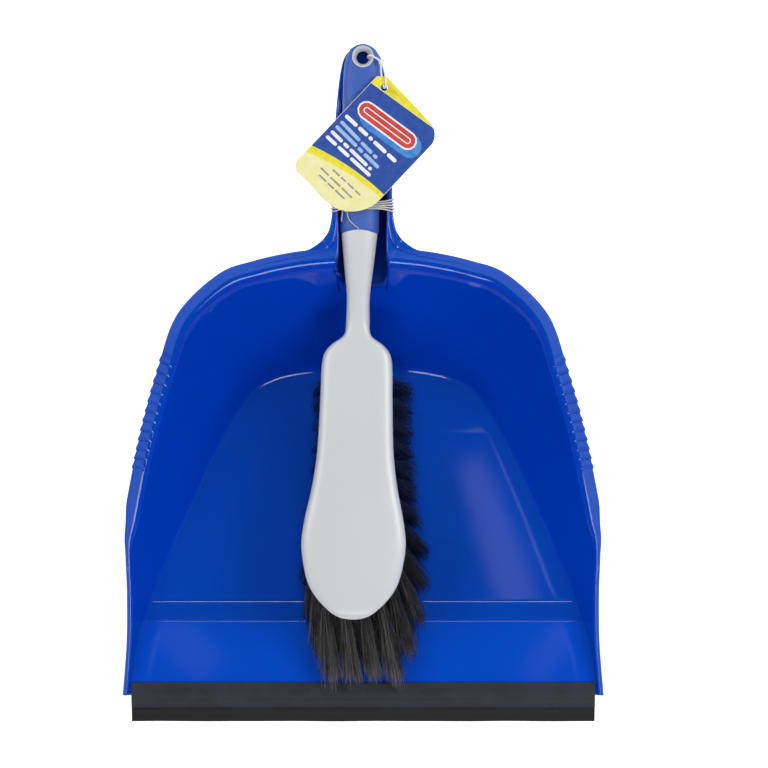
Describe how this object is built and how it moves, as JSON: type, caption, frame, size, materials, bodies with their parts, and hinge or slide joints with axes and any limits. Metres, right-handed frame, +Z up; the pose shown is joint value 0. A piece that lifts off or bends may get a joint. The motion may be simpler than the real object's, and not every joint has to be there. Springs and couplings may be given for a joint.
{
  "type": "dust pan and brush set",
  "caption": "Blue scoop dust pan with a rubber lip and ribbed rim, and a grey counter brush with black bristles tied into its channel handle.",
  "frame": {"origin": "on the surface the pan rests on, under the middle of the set's bounding box", "axes": "+X across the pan to the right, +Y from the open front towards the handle, +Z up"},
  "size_m": [0.3156, 0.4373, 0.0945],
  "materials": {
    "pan_plastic": "glossy injection-moulded polypropylene, strong blue",
    "lip_rubber": "matt dark grey extruded rubber, darker thin blade",
    "brush_plastic": "light grey satin moulded plastic",
    "grip_rubber": "soft-touch blue overmould, fine matt texture",
    "bristle": "black synthetic bristle with frayed ends",
    "tie_elastic": "thin translucent grey elastic",
    "tag_card": "glossy printed card, blue panel on yellow",
    "loop_nylon": "clear white nylon loop fastener"
  },
  "bodies": {
    "pan": {"pan_shell": "pan_plastic", "rubber_lip": "lip_rubber", "tie_band": "tie_elastic"},
    "brush": {"brush_core": "brush_plastic", "brush_grip": "grip_rubber", "tag_loop": "loop_nylon", "tuft_01": "bristle", "tuft_02": "bristle", "tuft_03": "bristle", "tuft_04": "bristle", "tuft_05": "bristle", "tuft_06": "bristle", "tuft_07": "bristle", "tuft_08": "bristle", "tuft_09": "bristle", "tuft_10": "bristle", "tuft_11": "bristle", "tuft_12": "bristle", "tuft_13": "bristle", "tuft_14": "bristle", "tuft_15": "bristle", "tuft_16": "bristle", "tuft_17": "bristle", "tuft_18": "bristle", "tuft_19": "bristle", "tuft_20": "bristle", "tuft_21": "bristle", "tuft_22": "bristle", "tuft_23": "bristle", "tuft_24": "bristle", "tuft_25": "bristle", "tuft_26": "bristle", "tuft_27": "bristle", "tuft_28": "bristle", "tuft_29": "bristle", "tuft_30": "bristle", "tuft_31": "bristle", "tuft_32": "bristle", "tuft_33": "bristle", "tuft_34": "bristle", "tuft_35": "bristle", "tuft_36": "bristle", "tuft_37": "bristle", "tuft_38": "bristle", "tuft_39": "bristle", "tuft_40": "bristle", "tuft_41": "bristle", "tuft_42": "bristle", "tuft_43": "bristle", "tuft_44": "bristle", "tuft_45": "bristle", "tuft_46": "bristle", "tuft_47": "bristle", "tuft_48": "bristle", "tuft_49": "bristle", "tuft_50": "bristle", "tuft_51": "bristle", "tuft_52": "bristle"},
    "tag": {"hang_tag": "tag_card"}
  },
  "joints": [
    {"name": "brush_lift", "type": "slide", "parent": "pan", "child": "brush", "axis": [0, 0, 1], "range_m": [0, 0.045], "deforming": ["tie_band"]},
    {"name": "tag_swing", "type": "hinge", "parent": "brush", "child": "tag", "pos_m": [0.0138, 0.1906, 0.092], "axis": [0, 0, 1], "range_deg": [-35, 40]}
  ]
}
